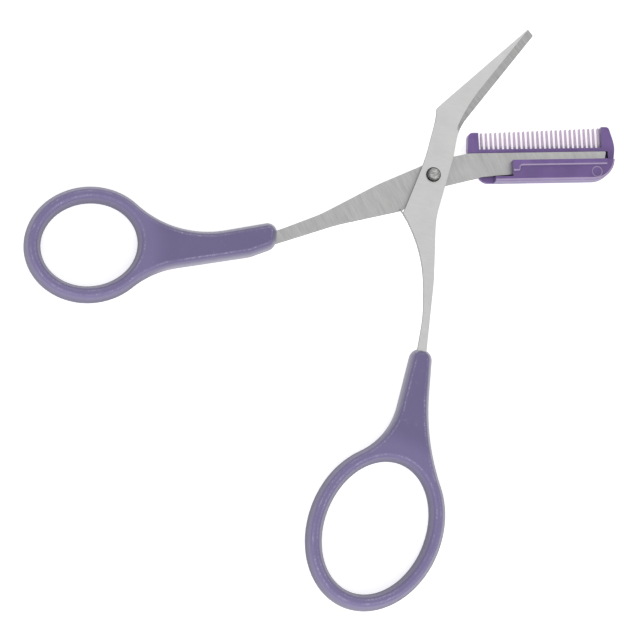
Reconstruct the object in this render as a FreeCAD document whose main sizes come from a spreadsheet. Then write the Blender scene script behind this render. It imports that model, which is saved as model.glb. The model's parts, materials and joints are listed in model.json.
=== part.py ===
import FreeCAD, Part
import math
import os
from types import SimpleNamespace

import Sketcher
from FreeCAD import Placement, Rotation, Vector

# Eyebrow scissors with a slide-on comb, in millimetres.
#
# The two halves cross at a rivet. Each half is a stamped blade with a handle moulded over its tang,
# and is drawn in its own blade frame: origin at the pivot, X along the straight cutting edge towards
# the tip, Y across the edge, Z from the back of the scissors to the front. The comb slides on the
# rear blade, so it is drawn in the rear blade's frame. Placements turn each piece into the open pose.

SIZES = {
    # Stack, back to front
    "handle_thick": 5.0,
    "blade_thick": 1.2,
    "blade_gap": 0.04,            # running gap between the two blades
    # Rest pose
    "rear_turn": 3.04,            # rear cutting edge above the horizontal, degrees
    "open_angle": 48.85,          # front cutting edge from the rear one, degrees
    # Cutting edges
    "rear_reach": 39.4,           # pivot to rear tip, along the edge
    "rear_edge_out": 4.87,        # pivot to rear cutting edge
    "rear_tip_width": 1.66,
    "front_reach_more": 0.2,      # front tip beyond the rear one
    "front_edge_out": 2.0,
    "front_tip_width": 1.84,
    "tip_rake": 0.4,              # rear tip's lower corner behind its edge corner
    "tip_round": 0.25,
    "rear_bevel_width": 1.2,
    "front_bevel_width": 1.75,
    "bevel_land": 0.15,           # thickness left at the cutting edge
    "rear_bevel_start": 9.5,
    "front_bevel_start": 22.0,    # here the grinding wheel begins to leave the edge
    "heel_wheel": 38.0,           # radius of the curve on which it leaves
    "heel_sweep": 14.2,           # and the angle it goes round before it is lifted, degrees
    # Heels, where the cutting edges begin
    "rear_heel_along": 8.4,
    "rear_heel_round": 10.0,
    "front_heel_along": 11.84,
    "front_heel_round": 12.0,
    # Pivot rivet
    "rivet_dia": 2.2,
    "rivet_fit": 0.03,            # radial running clearance in the front blade
    "rivet_head_dia": 3.2,
    "rivet_flat_dia": 2.1,
    "rivet_head_high": 0.5,
    "rivet_rim_high": 0.2,        # upright rim under the dome
    "rivet_head_gap": 0.02,
    # Tang anchors, filled by the moulded handles
    "anchor_dia": 1.5,
    # Finger loops
    "ring_band": 3.6,
    "flank_inset": 1.0,           # sloping flank, as wide as it looks from the front
    "flank_land": 0.6,            # upright band left between the front and back flanks
    "rim_round": 0.95,            # softens the rim between a face and its flank
    "rear_hole_long": 20.8,
    "rear_hole_wide": 17.9,
    "rear_hole_turn": 9.3,
    "rear_ring_along": -75.4,
    "rear_ring_out": -13.79,
    "front_hole_long": 29.5,
    "front_hole_wide": 21.7,
    "front_hole_turn": 14.3,
    "front_ring_along": -68.6,
    "front_ring_out": -37.44,
    # Blends where a neck meets its ring, as shares of the run from the grip to the ring's middle
    "rear_blend_upper": 0.54,
    "rear_blend_lower": 0.49,
    "front_blend_upper": 0.42,
    "front_blend_lower": 1.4,
    # Comb, its levels
    "comb_lift": 0.03,            # its back above the plane of the handles' backs
    "comb_fit": 0.05,             # clearance round the rear blade
    "comb_bar_drop": 0.18,        # tooth bar below the rear blade's front face
    "comb_flange_thick": 1.4,
    "comb_flange_round": 0.6,
    "comb_back_round": 0.3,
    # Comb, across the blade: from the rear cutting edge, or from the blade's belly
    "comb_root_past": 0.88,
    "comb_left_top_past": 4.63,
    "comb_right_top_past": 5.53,
    "comb_flange_below": 1.99,    # top of the front flange, behind the cutting edge
    "comb_belly_gap": 0.2,
    "comb_floor_wall": 1.0,
    "comb_spine_gap": 0.15,
    # Comb, along the blade: from the pivot, or from the rear tip
    "comb_flange_start": 17.85,
    "comb_wall_start": 13.9,
    "comb_left_post_side": 10.87,
    "comb_right_post_back": 0.9,
    "comb_end_gap": 0.4,
    "comb_rail_back": 0.4,
    # Comb's outline corners: places along the blade, and rounds
    "comb_low_left_along": 11.2,
    "comb_low_left_round": 2.5,
    "comb_left_peak_along": 8.65,
    "comb_left_peak_round": 1.0,
    "comb_right_peak_past": 0.95,
    "comb_right_peak_round": 0.8,
    "comb_low_right_past": 0.9,
    "comb_low_right_round": 4.9,
    "comb_right_post_lean": 0.2,  # its inner side leans out by this much at the top
    # Raised rail along the flange's top, with a short bar down its left end
    "comb_rail_wide": 1.25,
    "comb_rail_high": 0.45,
    "comb_rail_round": 0.4,       # rounds the rail's and the bar's inner rim
    "comb_bar_wide": 1.6,
    "comb_bar_long": 2.4,
    "comb_bar_round": 0.5,
    # Teeth
    "tooth_count": 26,
    "tooth_first_gap": 0.65,      # left post to the first tooth
    "tooth_last_gap": 0.195,      # last tooth to the right post
    "tooth_root_wide": 0.4,
    "tooth_tip_wide": 0.31,
    "tooth_thick": 1.0,
    "tooth_root_sunk": 0.3,
    "tooth_tips_past": 4.66,      # tip line past the rear cutting edge, at the first tooth
    "tooth_tips_rise": 0.74,      # and its rise to the last one
    # Ejector pin's ring on the flange
    "ejector_dia": 2.2,
    "ejector_deep": 0.08,
    "ejector_back": 2.7,
    "ejector_out": 0.1,
}

# Outline corners as (along, out, round) in the half's own frame.
CORNERS = {
    # Rear blade, clockwise from the tip: spine, shoulder, neck, tang and back along the top
    "rear_spine": (17.94, -0.03, 20.0),
    "rear_belly": (10.9, -0.42, 12.0),
    "rear_throat": (2.0, -2.35, 6.0),
    "rear_shoulder": (-7.1, -7.5, 1.0),
    "rear_neck_low": (-21.6, -10.35, 40.0),
    "rear_mouth_low": (-35.2, -14.3, 20.0),
    "rear_tang_low": (-46.3, -16.0, 1.2),
    "rear_paddle_low": (-50.6, -17.0, 1.2),
    "rear_paddle_high": (-51.2, -13.1, 1.2),
    "rear_tang_high": (-46.7, -13.1, 1.2),
    "rear_mouth_high": (-35.5, -11.7, 20.0),
    "rear_neck_high": (-25.0, -8.0, 30.0),
    "rear_back_high": (-12.2, -1.7, 30.0),
    "rear_crown": (0.7, 3.45, 20.0),
    # Front blade, from its heel down the neck to the tang and back up the spine side
    "front_flank": (6.3, -0.85, 20.0),
    "front_waist": (-7.4, -6.45, 20.0),
    "front_neck_low": (-18.5, -14.5, 40.0),
    "front_mouth_low": (-31.4, -22.45, 30.0),
    "front_tang_low": (-42.4, -28.4, 1.2),
    "front_paddle_low": (-45.3, -32.2, 1.2),
    "front_paddle_high": (-48.0, -29.3, 1.2),
    "front_tang_high": (-43.6, -26.8, 1.2),
    "front_neck_high": (-25.8, -17.3, 30.0),
    "front_waist_high": (-13.5, -7.8, 30.0),
    "front_shoulder": (-11.0, -0.15, 0.4),
    "front_back": (1.85, 3.5, 30.0),
    "front_back_top": (10.4, 7.2, 15.0),
    "front_peak": (12.4, 8.5, 0.6),
    # Necks of the handles at their mouths
    "rear_grip_high": (-34.55, -9.48, 2.0),
    "rear_grip_low": (-35.4, -15.35, 2.7),
    "rear_grip_belly": (-41.0, -17.22, 8.0),
    "front_grip_high": (-32.9, -19.66, 2.3),
    "front_grip_low": (-30.75, -23.77, 2.3),
    # Ends of the necks sunk in the rings, from the ring's middle
    "rear_root_low": (7.4, -6.91, 0.0),
    "rear_root_high": (7.4, -0.81, 0.0),
    "front_root_low": (8.6, -5.54, 0.0),
    "front_root_high": (8.6, 5.86, 0.0),
    # Centres of the tang anchors
    "rear_anchor": (-49.0, -14.95, 0.0),
    "front_anchor": (-45.4, -29.6, 0.0),
    # Left side of the comb's outline; its right side is measured from the rear tip
    "comb_left_bulge": (8.25, 5.0, 4.0),
    "comb_right_bulge": (2.1, 6.0, 7.0),
}

TINY = 1e-6
OVERCUT = 2.0                     # how far a cutting outline stands outside what it cuts


class Size:
    """A value together with the sheet expression that gives it."""

    def __init__(self, value, text):
        self.value, self.text = value, text

    @staticmethod
    def of(term):
        return term if isinstance(term, Size) else Size(float(term), repr(float(term)))

    def _with(self, other, symbol, value):
        return Size(value, f"({self.text} {symbol} {other.text})")

    def __add__(self, other):
        other = Size.of(other)
        return self._with(other, "+", self.value + other.value)

    def __sub__(self, other):
        other = Size.of(other)
        return self._with(other, "-", self.value - other.value)

    def __mul__(self, other):
        other = Size.of(other)
        return self._with(other, "*", self.value * other.value)

    def __truediv__(self, other):
        other = Size.of(other)
        return self._with(other, "/", self.value / other.value)

    def __radd__(self, other):
        return Size.of(other) + self

    def __rmul__(self, other):
        return Size.of(other) * self


def fill_sheet(doc):
    """Write every size to the sheet and return them by name; a corner becomes three cells."""
    sheet = doc.addObject("Spreadsheet::Sheet", "Sizes")
    cells = dict(SIZES)
    for name, corner in CORNERS.items():
        for part_name, value in zip(("along", "out", "round"), corner):
            cells[f"{name}_{part_name}"] = value
    known = {}
    for row, (name, value) in enumerate(cells.items(), start=1):
        sheet.set(f"A{row}", name)
        sheet.set(f"B{row}", str(value))
        sheet.setAlias(f"B{row}", name)
        known[name] = Size(float(value), f"Sizes.{name}")
    doc.recompute()
    for name in CORNERS:
        known[name] = tuple(known[f"{name}_{part_name}"] for part_name in ("along", "out", "round"))
    return SimpleNamespace(**known)


def new_body(doc, name):
    body = doc.addObject("PartDesign::Body", name)
    body.Label = name
    return body


def new_sketch(body, name, plane="XY_Plane", offset=0.0):
    """A sketch on one of the body's own origin planes, raised by offset along the plane's normal."""
    sketch = body.newObject("Sketcher::SketchObject", name)
    origin = [feature for feature in body.Origin.OriginFeatures if feature.Role == plane][0]
    sketch.AttachmentSupport = [(origin, "")]
    sketch.MapMode = "FlatFace"
    offset = Size.of(offset)
    sketch.AttachmentOffset = Placement(Vector(0, 0, offset.value), Rotation())
    sketch.setExpression("AttachmentOffset.Base.z", offset.text)
    return sketch


def bind_constraint(sketch, constraint, size):
    index = sketch.addConstraint(constraint)
    sketch.setExpression(f"Constraints[{index}]", size.text)


def fix_point(sketch, geometry, end, across, up):
    """Hold one point of a sketch at (across, up) from the sketch's origin."""
    for kind, size in (("DistanceX", across), ("DistanceY", up)):
        size = Size.of(size)
        bind_constraint(sketch, Sketcher.Constraint(kind, -1, 1, geometry, end, size.value), size)


def draw_outline(sketch, corners):
    """Draw a closed outline of straight runs; a corner with a round is an arc tangent to both runs."""
    points = [Vector(Size.of(c[0]).value, Size.of(c[1]).value, 0) for c in corners]
    rounds = [Size.of(c[2]) if len(c) > 2 else Size.of(0) for c in corners]
    count = len(corners)
    leave, arrive, arcs = [], [], []
    for i, corner in enumerate(points):
        back = (points[i - 1] - corner).normalize()
        ahead = (points[(i + 1) % count] - corner).normalize()
        if rounds[i].value < TINY:
            leave.append(corner)
            arrive.append(corner)
            arcs.append(None)
            continue
        half = back.getAngle(ahead) / 2
        run = rounds[i].value / math.tan(half)
        centre = corner + (back + ahead).normalize() * (rounds[i].value / math.sin(half))
        arrive.append(corner + back * run)
        leave.append(corner + ahead * run)
        middle = centre + (corner - centre).normalize() * rounds[i].value
        arcs.append(Part.Arc(arrive[i], middle, leave[i]))
    lines = [sketch.addGeometry(Part.LineSegment(leave[i], arrive[(i + 1) % count]), False)
             for i in range(count)]
    for i, corner in enumerate(corners):
        before, after = lines[i - 1], lines[i]
        if arcs[i] is None:
            sketch.addConstraint(Sketcher.Constraint("Coincident", before, 2, after, 1))
            fix_point(sketch, after, 1, corner[0], corner[1])
            continue
        arc = sketch.addGeometry(arcs[i], False)
        clockwise = (points[i] - points[i - 1]).cross(points[(i + 1) % count] - points[i]).z < 0
        first, last = (2, 1) if clockwise else (1, 2)
        apex = sketch.addGeometry(Part.Point(points[i]), True)
        sketch.addConstraint([
            Sketcher.Constraint("Tangent", before, 2, arc, first),
            Sketcher.Constraint("Tangent", arc, last, after, 1),
            Sketcher.Constraint("PointOnObject", apex, 1, before),
            Sketcher.Constraint("PointOnObject", apex, 1, after)])
        bind_constraint(sketch, Sketcher.Constraint("Radius", arc, rounds[i].value), rounds[i])
        fix_point(sketch, apex, 1, corner[0], corner[1])


def draw_circle(sketch, across, up, diameter):
    across, up, diameter = Size.of(across), Size.of(up), Size.of(diameter)
    circle = Part.Circle(Vector(across.value, up.value, 0), Vector(0, 0, 1), diameter.value / 2)
    index = sketch.addGeometry(circle, False)
    bind_constraint(sketch, Sketcher.Constraint("Diameter", index, diameter.value), diameter)
    fix_point(sketch, index, 3, across, up)


def draw_ellipse(sketch, ring, long_size, wide_size):
    """Draw an ellipse with its sizes given across, on the ring's centre and long axis."""
    centre = Vector(ring.along.value, ring.out.value, 0)
    turn = math.radians(ring.turn.value)
    axis = Vector(math.cos(turn), math.sin(turn), 0)
    long_half, wide_half = long_size.value / 2, wide_size.value / 2
    major = centre + axis * long_half
    minor = centre + Vector(-axis.y, axis.x, 0) * wide_half
    index = sketch.addGeometry(Part.Ellipse(major, minor, centre), False)
    sketch.exposeInternalGeometry(index)
    long_axis, wide_axis = index + 1, index + 2
    bind_constraint(sketch, Sketcher.Constraint("Distance", long_axis, long_size.value), long_size)
    bind_constraint(sketch, Sketcher.Constraint("Distance", wide_axis, wide_size.value), wide_size)
    angle = Sketcher.Constraint("Angle", -1, 1, long_axis, 2, math.radians(180 + ring.turn.value))
    bind_constraint(sketch, angle, (180 + ring.turn) * Size(1.0, "1 deg"))
    fix_point(sketch, index, 3, ring.along, ring.out)


def pad(body, sketch, length):
    feature = body.newObject("PartDesign::Pad", f"{sketch.Name}_pad")
    feature.Profile = sketch
    feature.Length = Size.of(length).value
    feature.setExpression("Length", Size.of(length).text)
    sketch.Visibility = False
    body.Document.recompute()
    return feature


def pocket(body, sketch, length, upward=True):
    """Cut the sketch out of the body for a length along its plane's normal, or against it."""
    before = body.Shape.Volume
    feature = body.newObject("PartDesign::Pocket", f"{sketch.Name}_pocket")
    feature.Profile = sketch
    feature.Length = Size.of(length).value
    feature.setExpression("Length", Size.of(length).text)
    feature.Reversed = upward
    body.Document.recompute()
    if not body.Shape.Volume < before - TINY:
        raise RuntimeError(f"{feature.Name} removed nothing")
    return feature


def dress(body, kind, name, edges, settings=None, **sizes):
    """Add a PartDesign fillet or chamfer on the named edges of the body."""
    if not edges:
        raise RuntimeError(f"{name} found no edges")
    feature = body.newObject(f"PartDesign::{kind}", name)
    feature.Base = (feature.BaseFeature, edges)
    for prop, setting in (settings or {}).items():
        setattr(feature, prop, setting)
    for prop, size in sizes.items():
        setattr(feature, prop, size.value)
        feature.setExpression(prop, size.text)
    body.Document.recompute()
    return feature


def box_corners(left, right, low, high):
    return [(left, low), (right, low), (right, high), (left, high)]


def make_levels(s):
    """Heights of the stack, from the back of the handles at 0."""
    middle = s.handle_thick / 2
    rear_front = middle - s.blade_gap / 2
    rear_back = rear_front - s.blade_thick
    front_back = middle + s.blade_gap / 2
    comb_flange = rear_front + s.comb_fit
    return SimpleNamespace(
        middle=middle, rear_back=rear_back, rear_front=rear_front, front_back=front_back,
        front_front=front_back + s.blade_thick, comb_back=s.comb_lift,
        comb_slot=rear_back - s.comb_fit, comb_bar=rear_front - s.comb_bar_drop,
        comb_flange=comb_flange, comb_front=comb_flange + s.comb_flange_thick)


def rear_blade_outline(s):
    return [(s.rear_reach, s.rear_edge_out, s.tip_round),
            (s.rear_reach - s.tip_rake, s.rear_edge_out - s.rear_tip_width, s.tip_round),
            s.rear_spine, s.rear_belly, s.rear_throat, s.rear_shoulder, s.rear_neck_low, s.rear_mouth_low,
            s.rear_tang_low, s.rear_paddle_low, s.rear_paddle_high, s.rear_tang_high,
            s.rear_mouth_high, s.rear_neck_high, s.rear_back_high, s.rear_crown,
            (s.rear_heel_along, s.rear_edge_out, s.rear_heel_round)]


def front_blade_outline(s):
    reach = s.rear_reach + s.front_reach_more
    return [(reach, s.front_edge_out, s.tip_round),
            (s.front_heel_along, s.front_edge_out, s.front_heel_round),
            s.front_flank, s.front_waist, s.front_neck_low, s.front_mouth_low, s.front_tang_low,
            s.front_paddle_low, s.front_paddle_high, s.front_tang_high, s.front_neck_high,
            s.front_waist_high, s.front_shoulder, s.front_back, s.front_back_top, s.front_peak,
            (reach, s.front_edge_out + s.front_tip_width, s.tip_round)]


def draw_blank(sketch, outline, anchor, s):
    """The stamped blank's outline with its anchor hole, shared by a blade and its handle."""
    draw_outline(sketch, outline)
    draw_circle(sketch, anchor[0], anchor[1], s.anchor_dia)


def make_blade(doc, name, s, blank, rivet_hole, bevel):
    """One stamped blade: the blank, the rivet hole and a ground bevel along the cutting edge."""
    body = new_body(doc, name)
    sketch = new_sketch(body, f"{name}_blank", offset=blank.back)
    draw_blank(sketch, blank.outline, blank.anchor, s)
    pad(body, sketch, s.blade_thick)
    sketch = new_sketch(body, f"{name}_rivet_hole", offset=blank.back)
    draw_circle(sketch, 0, 0, rivet_hole)
    pocket(body, sketch, s.blade_thick)
    sketch = new_sketch(body, f"{name}_bevel", "YZ_Plane", bevel.start)
    draw_outline(sketch, bevel.section)
    pocket(body, sketch, bevel.length)
    return body


def grind_round(body, name, along, section, axis_out, angle, s):
    """Cut a section that stands across the blade, swept about an upright axis."""
    sketch = new_sketch(body, name, "YZ_Plane", along)
    draw_outline(sketch, section)
    low, high = Size.of(0), s.handle_thick
    axis = sketch.addGeometry(Part.LineSegment(Vector(axis_out.value, low.value, 0),
                                               Vector(axis_out.value, high.value, 0)), True)
    fix_point(sketch, axis, 1, axis_out, low)
    fix_point(sketch, axis, 2, axis_out, high)
    before = body.Shape.Volume
    groove = body.newObject("PartDesign::Groove", f"{name}_groove")
    groove.Profile = sketch
    groove.ReferenceAxis = (sketch, ["Axis0"])
    groove.Angle = Size.of(angle).value
    groove.setExpression("Angle", Size.of(angle).text)
    body.Document.recompute()
    if not body.Shape.Volume < before - TINY:
        raise RuntimeError(f"{name} removed nothing")


def grind_heel(body, s, levels, bevel):
    """End the front bevel: the wheel leaves the edge on a curve and is lifted off in a round end."""
    edge, land = s.front_edge_out, levels.front_back + s.bevel_land
    grind_round(body, "front_heel_curve", bevel.start, bevel.section, edge - s.heel_wheel,
                s.heel_sweep, s)
    turn = math.radians(s.heel_sweep.value)
    end_along = bevel.start - s.heel_wheel * Size(math.sin(turn), "sin(Sizes.heel_sweep * 1 deg)")
    end_out = edge - s.heel_wheel + s.heel_wheel * Size(math.cos(turn),
                                                        "cos(Sizes.heel_sweep * 1 deg)")
    cone = [(end_out, land), (end_out + s.front_bevel_width, levels.front_front),
            (end_out, levels.front_front)]
    grind_round(body, "front_heel_end", end_along, cone, end_out, 360.0, s)


def make_blades(doc, s, levels):
    rear = SimpleNamespace(outline=rear_blade_outline(s), anchor=s.rear_anchor, back=levels.rear_back)
    edge, land = s.rear_edge_out, levels.rear_front - s.bevel_land
    rear_bevel = SimpleNamespace(
        start=s.rear_bevel_start, length=s.rear_reach - s.rear_bevel_start + OVERCUT,
        section=[(edge - s.rear_bevel_width, levels.rear_back), (edge + OVERCUT, levels.rear_back),
                 (edge + OVERCUT, land), (edge, land)])
    front = SimpleNamespace(outline=front_blade_outline(s), anchor=s.front_anchor,
                            back=levels.front_back)
    edge, land = s.front_edge_out, levels.front_back + s.bevel_land
    front_reach = s.rear_reach + s.front_reach_more
    front_bevel = SimpleNamespace(
        start=s.front_bevel_start, length=front_reach - s.front_bevel_start + OVERCUT,
        section=[(edge + s.front_bevel_width, levels.front_front), (edge - OVERCUT, levels.front_front),
                 (edge - OVERCUT, land), (edge, land)])
    rear_body = make_blade(doc, "rear_blade", s, rear, s.rivet_dia, rear_bevel)
    front_hole = s.rivet_dia + 2 * s.rivet_fit
    front_body = make_blade(doc, "front_blade", s, front, front_hole, front_bevel)
    grind_heel(front_body, s, levels, front_bevel)
    return rear, front, rear_body, front_body


def make_rivet(doc, s, levels):
    """The rivet turned about the pivot: shank, and a domed head with a flat at each end."""
    body = new_body(doc, "pivot_rivet")
    sketch = new_sketch(body, "rivet_profile", "XZ_Plane")
    shank, head, flat = s.rivet_dia / 2, s.rivet_head_dia / 2, s.rivet_flat_dia / 2
    under_front = levels.front_front + s.rivet_head_gap
    draw_outline(sketch, [
        (0, levels.rear_back - s.rivet_head_high), (flat, levels.rear_back - s.rivet_head_high),
        (head, levels.rear_back - s.rivet_rim_high), (head, levels.rear_back),
        (shank, levels.rear_back), (shank, under_front), (head, under_front),
        (head, under_front + s.rivet_rim_high), (flat, under_front + s.rivet_head_high),
        (0, under_front + s.rivet_head_high)])
    turned = body.newObject("PartDesign::Revolution", "rivet_turned")
    turned.Profile = sketch
    turned.ReferenceAxis = (sketch, ["V_Axis"])
    turned.Angle = 360.0
    doc.recompute()
    return body


def surface_kinds(shape, edge):
    return sorted(face.Surface.TypeId for face in shape.ancestorsOfType(edge, Part.Face))


def is_upright(edge):
    first, last = edge.Vertexes[0].Point, edge.Vertexes[-1].Point
    return math.hypot(first.x - last.x, first.y - last.y) < TINY < abs(first.z - last.z)


def is_level(shape, height):
    box = shape.BoundBox
    return max(abs(box.ZMin - height), abs(box.ZMax - height)) < 1e-3


def edge_name(shape, edge):
    return next(f"Edge{i}" for i, other in enumerate(shape.Edges, start=1) if other.isSame(edge))


def slope_rims(body, name, height, s):
    """Chamfer every rim of the flat face at a height into a flank, inset on the face and tall beside it."""
    shape = body.Shape
    face = max((face for face in shape.Faces if is_level(face, height)), key=lambda f: f.Area)
    starts = [wire.Edges[0] for wire in face.Wires]    # the chamfer follows the rest of each rim
    face_first = is_level(shape.ancestorsOfType(starts[0], Part.Face)[0], height)
    dress(body, "Chamfer", name, [edge_name(shape, edge) for edge in starts],
          settings={"ChamferType": "Two distances", "FlipDirection": not face_first},
          Size=s.flank_inset, Size2=(s.handle_thick - s.flank_land) / 2)


def round_rims(body, name, height, radius):
    """Round every rim of the flat face at a height."""
    shape = body.Shape
    face = max((face for face in shape.Faces if is_level(face, height)), key=lambda f: f.Area)
    dress(body, "Fillet", name, [edge_name(shape, wire.Edges[0]) for wire in face.Wires],
          Radius=radius)


def make_handle(doc, name, s, blank, ring, neck, blends):
    """A moulded finger loop: ring and neck, blended, holed, with sloping flanks and the tang's room."""
    run = neck[0][0] - ring.along
    body = new_body(doc, name)
    sketch = new_sketch(body, f"{name}_ring")
    draw_ellipse(sketch, ring, ring.long + 2 * s.ring_band, ring.wide + 2 * s.ring_band)
    pad(body, sketch, s.handle_thick)
    sketch = new_sketch(body, f"{name}_neck")
    draw_outline(sketch, neck)
    pad(body, sketch, s.handle_thick)
    for side, share in zip(("upper", "lower"), blends):
        kinds = ["Part::GeomPlane", "Part::GeomSurfaceOfExtrusion"]
        shape = body.Shape
        joints = [(edge.CenterOfMass.y, f"Edge{i}") for i, edge in enumerate(shape.Edges, start=1)
                  if is_upright(edge) and surface_kinds(shape, edge) == kinds]
        joint = max(joints) if side == "upper" else min(joints)
        dress(body, "Fillet", f"{name}_blend_{side}", [joint[1]], Radius=run * share)
    sketch = new_sketch(body, f"{name}_hole")
    draw_ellipse(sketch, ring, ring.long, ring.wide)
    pocket(body, sketch, s.handle_thick)
    for side, height in (("front", s.handle_thick.value), ("back", 0.0)):
        slope_rims(body, f"{name}_flank_{side}", height, s)
        round_rims(body, f"{name}_rim_{side}", height, s.rim_round)
    sketch = new_sketch(body, f"{name}_tang_room", offset=blank.back)
    draw_blank(sketch, blank.outline, blank.anchor, s)
    pocket(body, sketch, s.blade_thick)
    return body


def from_ring(ring, corner):
    """A corner given from the ring's middle, in the half's own frame."""
    return (ring.along + corner[0], ring.out + corner[1], corner[2])


def make_handles(doc, s, rear, front):
    rear_ring = SimpleNamespace(along=s.rear_ring_along, out=s.rear_ring_out, turn=s.rear_hole_turn,
                                long=s.rear_hole_long, wide=s.rear_hole_wide)
    rear_neck = [s.rear_grip_high, s.rear_grip_low, s.rear_grip_belly,
                 from_ring(rear_ring, s.rear_root_low), from_ring(rear_ring, s.rear_root_high)]
    front_ring = SimpleNamespace(along=s.front_ring_along, out=s.front_ring_out,
                                 turn=s.front_hole_turn, long=s.front_hole_long,
                                 wide=s.front_hole_wide)
    front_neck = [s.front_grip_high, s.front_grip_low,
                  from_ring(front_ring, s.front_root_low), from_ring(front_ring, s.front_root_high)]
    return (make_handle(doc, "rear_handle", s, rear, rear_ring, rear_neck,
                        (s.rear_blend_upper, s.rear_blend_lower)),
            make_handle(doc, "front_handle", s, front, front_ring, front_neck,
                        (s.front_blend_upper, s.front_blend_lower)))


def comb_frame(s, levels):
    """The comb's shared places along and across the rear blade, in the blade's frame."""
    tip, edge = s.rear_reach, s.rear_edge_out
    bottom = s.rear_belly[1] - s.comb_belly_gap - s.comb_floor_wall
    left_side, right_side = s.comb_left_post_side, tip - s.comb_right_post_back
    tooth_first = left_side + s.tooth_first_gap + s.tooth_root_wide / 2
    tooth_last = right_side - s.tooth_last_gap - s.tooth_root_wide / 2
    return SimpleNamespace(
        tip=tip, bottom=bottom, floor=bottom + s.comb_floor_wall, slot_top=edge + s.comb_fit,
        left_side=left_side, right_side=right_side, root=edge + s.comb_root_past,
        flange=edge - s.comb_flange_below, left_top=edge + s.comb_left_top_past,
        right_top=edge + s.comb_right_top_past, top=levels.comb_front + s.comb_rail_high,
        rail_low=edge - s.comb_flange_below - s.comb_rail_wide,
        right_bulge=tip + s.comb_right_bulge[0], tooth_first=tooth_first, tooth_last=tooth_last,
        tips_first=edge + s.tooth_tips_past, tips_last=edge + s.tooth_tips_past + s.tooth_tips_rise)


def make_comb_shell(body, s, levels, c):
    """The comb without teeth: one block cut back to its levels and slotted for the rear blade."""
    far_left, far_right = s.comb_left_bulge[0] - OVERCUT, c.right_bulge + OVERCUT
    far_up, far_down = c.right_top + OVERCUT, c.bottom - OVERCUT
    rail_end = c.tip - s.comb_rail_back
    bar_side, bar_low = s.comb_flange_start + s.comb_bar_wide, c.flange - s.comb_bar_long

    sketch = new_sketch(body, "comb_block", offset=levels.comb_back)
    draw_outline(sketch, [
        (s.comb_low_left_along, c.bottom, s.comb_low_left_round), s.comb_left_bulge,
        (s.comb_left_peak_along, c.left_top, s.comb_left_peak_round),
        (c.left_side, c.left_top), (c.left_side, c.root),
        (c.right_side, c.root), (c.right_side + s.comb_right_post_lean, c.right_top),
        (c.tip + s.comb_right_peak_past, c.right_top, s.comb_right_peak_round),
        (c.right_bulge, s.comb_right_bulge[1], s.comb_right_bulge[2]),
        (c.tip + s.comb_low_right_past, c.bottom, s.comb_low_right_round)])
    pad(body, sketch, c.top - levels.comb_back)

    mouth_end = s.comb_wall_start - OVERCUT
    cuts = [
        # the tooth bar and posts lie just below the rear blade's front face
        ("comb_step", levels.comb_bar, box_corners(far_left, far_right, c.flange, far_up)),
        # the flange's face, below the raised rail
        ("comb_face", levels.comb_front, [
            (far_left, far_down), (far_right, far_down), (far_right, far_up), (rail_end, far_up),
            (rail_end, c.rail_low), (bar_side, c.rail_low, s.comb_bar_round),
            (bar_side, bar_low, s.comb_bar_round), (far_left, bar_low)]),
        # the open mouth on the left, down to the slot's floor
        ("comb_mouth", levels.comb_slot,
         box_corners(far_left, s.comb_wall_start, far_down, c.slot_top)),
        ("comb_window", levels.comb_slot,
         box_corners(mouth_end, s.comb_flange_start, c.floor, c.slot_top)),
    ]
    for name, level, corners in cuts:
        sketch = new_sketch(body, name, offset=level)
        draw_outline(sketch, corners)
        pocket(body, sketch, c.top + OVERCUT - level)

    sketch = new_sketch(body, "comb_slot", offset=levels.comb_slot)
    draw_outline(sketch, [
        (far_left, c.slot_top), (c.tip + s.comb_end_gap, c.slot_top),
        (c.tip + s.comb_end_gap, s.rear_edge_out - s.rear_tip_width - s.comb_spine_gap),
        (s.rear_spine[0], s.rear_spine[1] - s.comb_spine_gap),
        (mouth_end, c.floor), (far_left, c.floor)])
    pocket(body, sketch, levels.comb_flange - levels.comb_slot)


def soften_comb(body, s, levels, c):
    """Round the rail's inner rim, the flange's outer rim and the whole outer rim at the back."""
    rims = (("comb_rail_rim", c.top, c.rail_low, s.comb_rail_round),
            ("comb_flange_rim", levels.comb_front, c.bottom, s.comb_flange_round),
            ("comb_back_rim", levels.comb_back, c.bottom, s.comb_back_round))
    for name, height, out, radius in rims:
        shape = body.Shape
        runs = [edge for edge in shape.Edges if is_level(edge, height.value)
                and abs(edge.CenterOfMass.y - out.value) < TINY]
        start = max(runs, key=lambda edge: edge.Length)    # the rounding follows the rest of the rim
        dress(body, "Fillet", name, [edge_name(shape, start)], Radius=radius)


def make_teeth(body, s, levels, c):
    """One tapered tooth repeated along the bar, then all cut to a rising line of tips."""
    sketch = new_sketch(body, "comb_tooth",
                        offset=(levels.comb_back + levels.comb_bar - s.tooth_thick) / 2)
    root, tip, sunk = s.tooth_root_wide / 2, s.tooth_tip_wide / 2, c.root - s.tooth_root_sunk
    draw_outline(sketch, [(c.tooth_first - root, sunk), (c.tooth_first + root, sunk),
                          (c.tooth_first + tip, c.tips_last), (c.tooth_first - tip, c.tips_last)])
    tooth = pad(body, sketch, s.tooth_thick)
    row = body.newObject("PartDesign::LinearPattern", "comb_teeth")
    row.Originals = [tooth]
    row.Direction = (sketch, ["H_Axis"])
    row.Length = (c.tooth_last - c.tooth_first).value
    row.setExpression("Length", (c.tooth_last - c.tooth_first).text)
    row.Occurrences = int(s.tooth_count.value)
    row.setExpression("Occurrences", s.tooth_count.text)
    body.Tip = row
    body.Document.recompute()

    # clear of both posts at its ends
    sketch = new_sketch(body, "comb_tip_line", offset=levels.comb_back)
    first, last = c.tooth_first - root, c.tooth_last + tip
    draw_outline(sketch, [(first, c.tips_first), (last, c.tips_last),
                          (last, c.tips_last + OVERCUT), (first, c.tips_last + OVERCUT)])
    pocket(body, sketch, levels.comb_bar - levels.comb_back)


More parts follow.
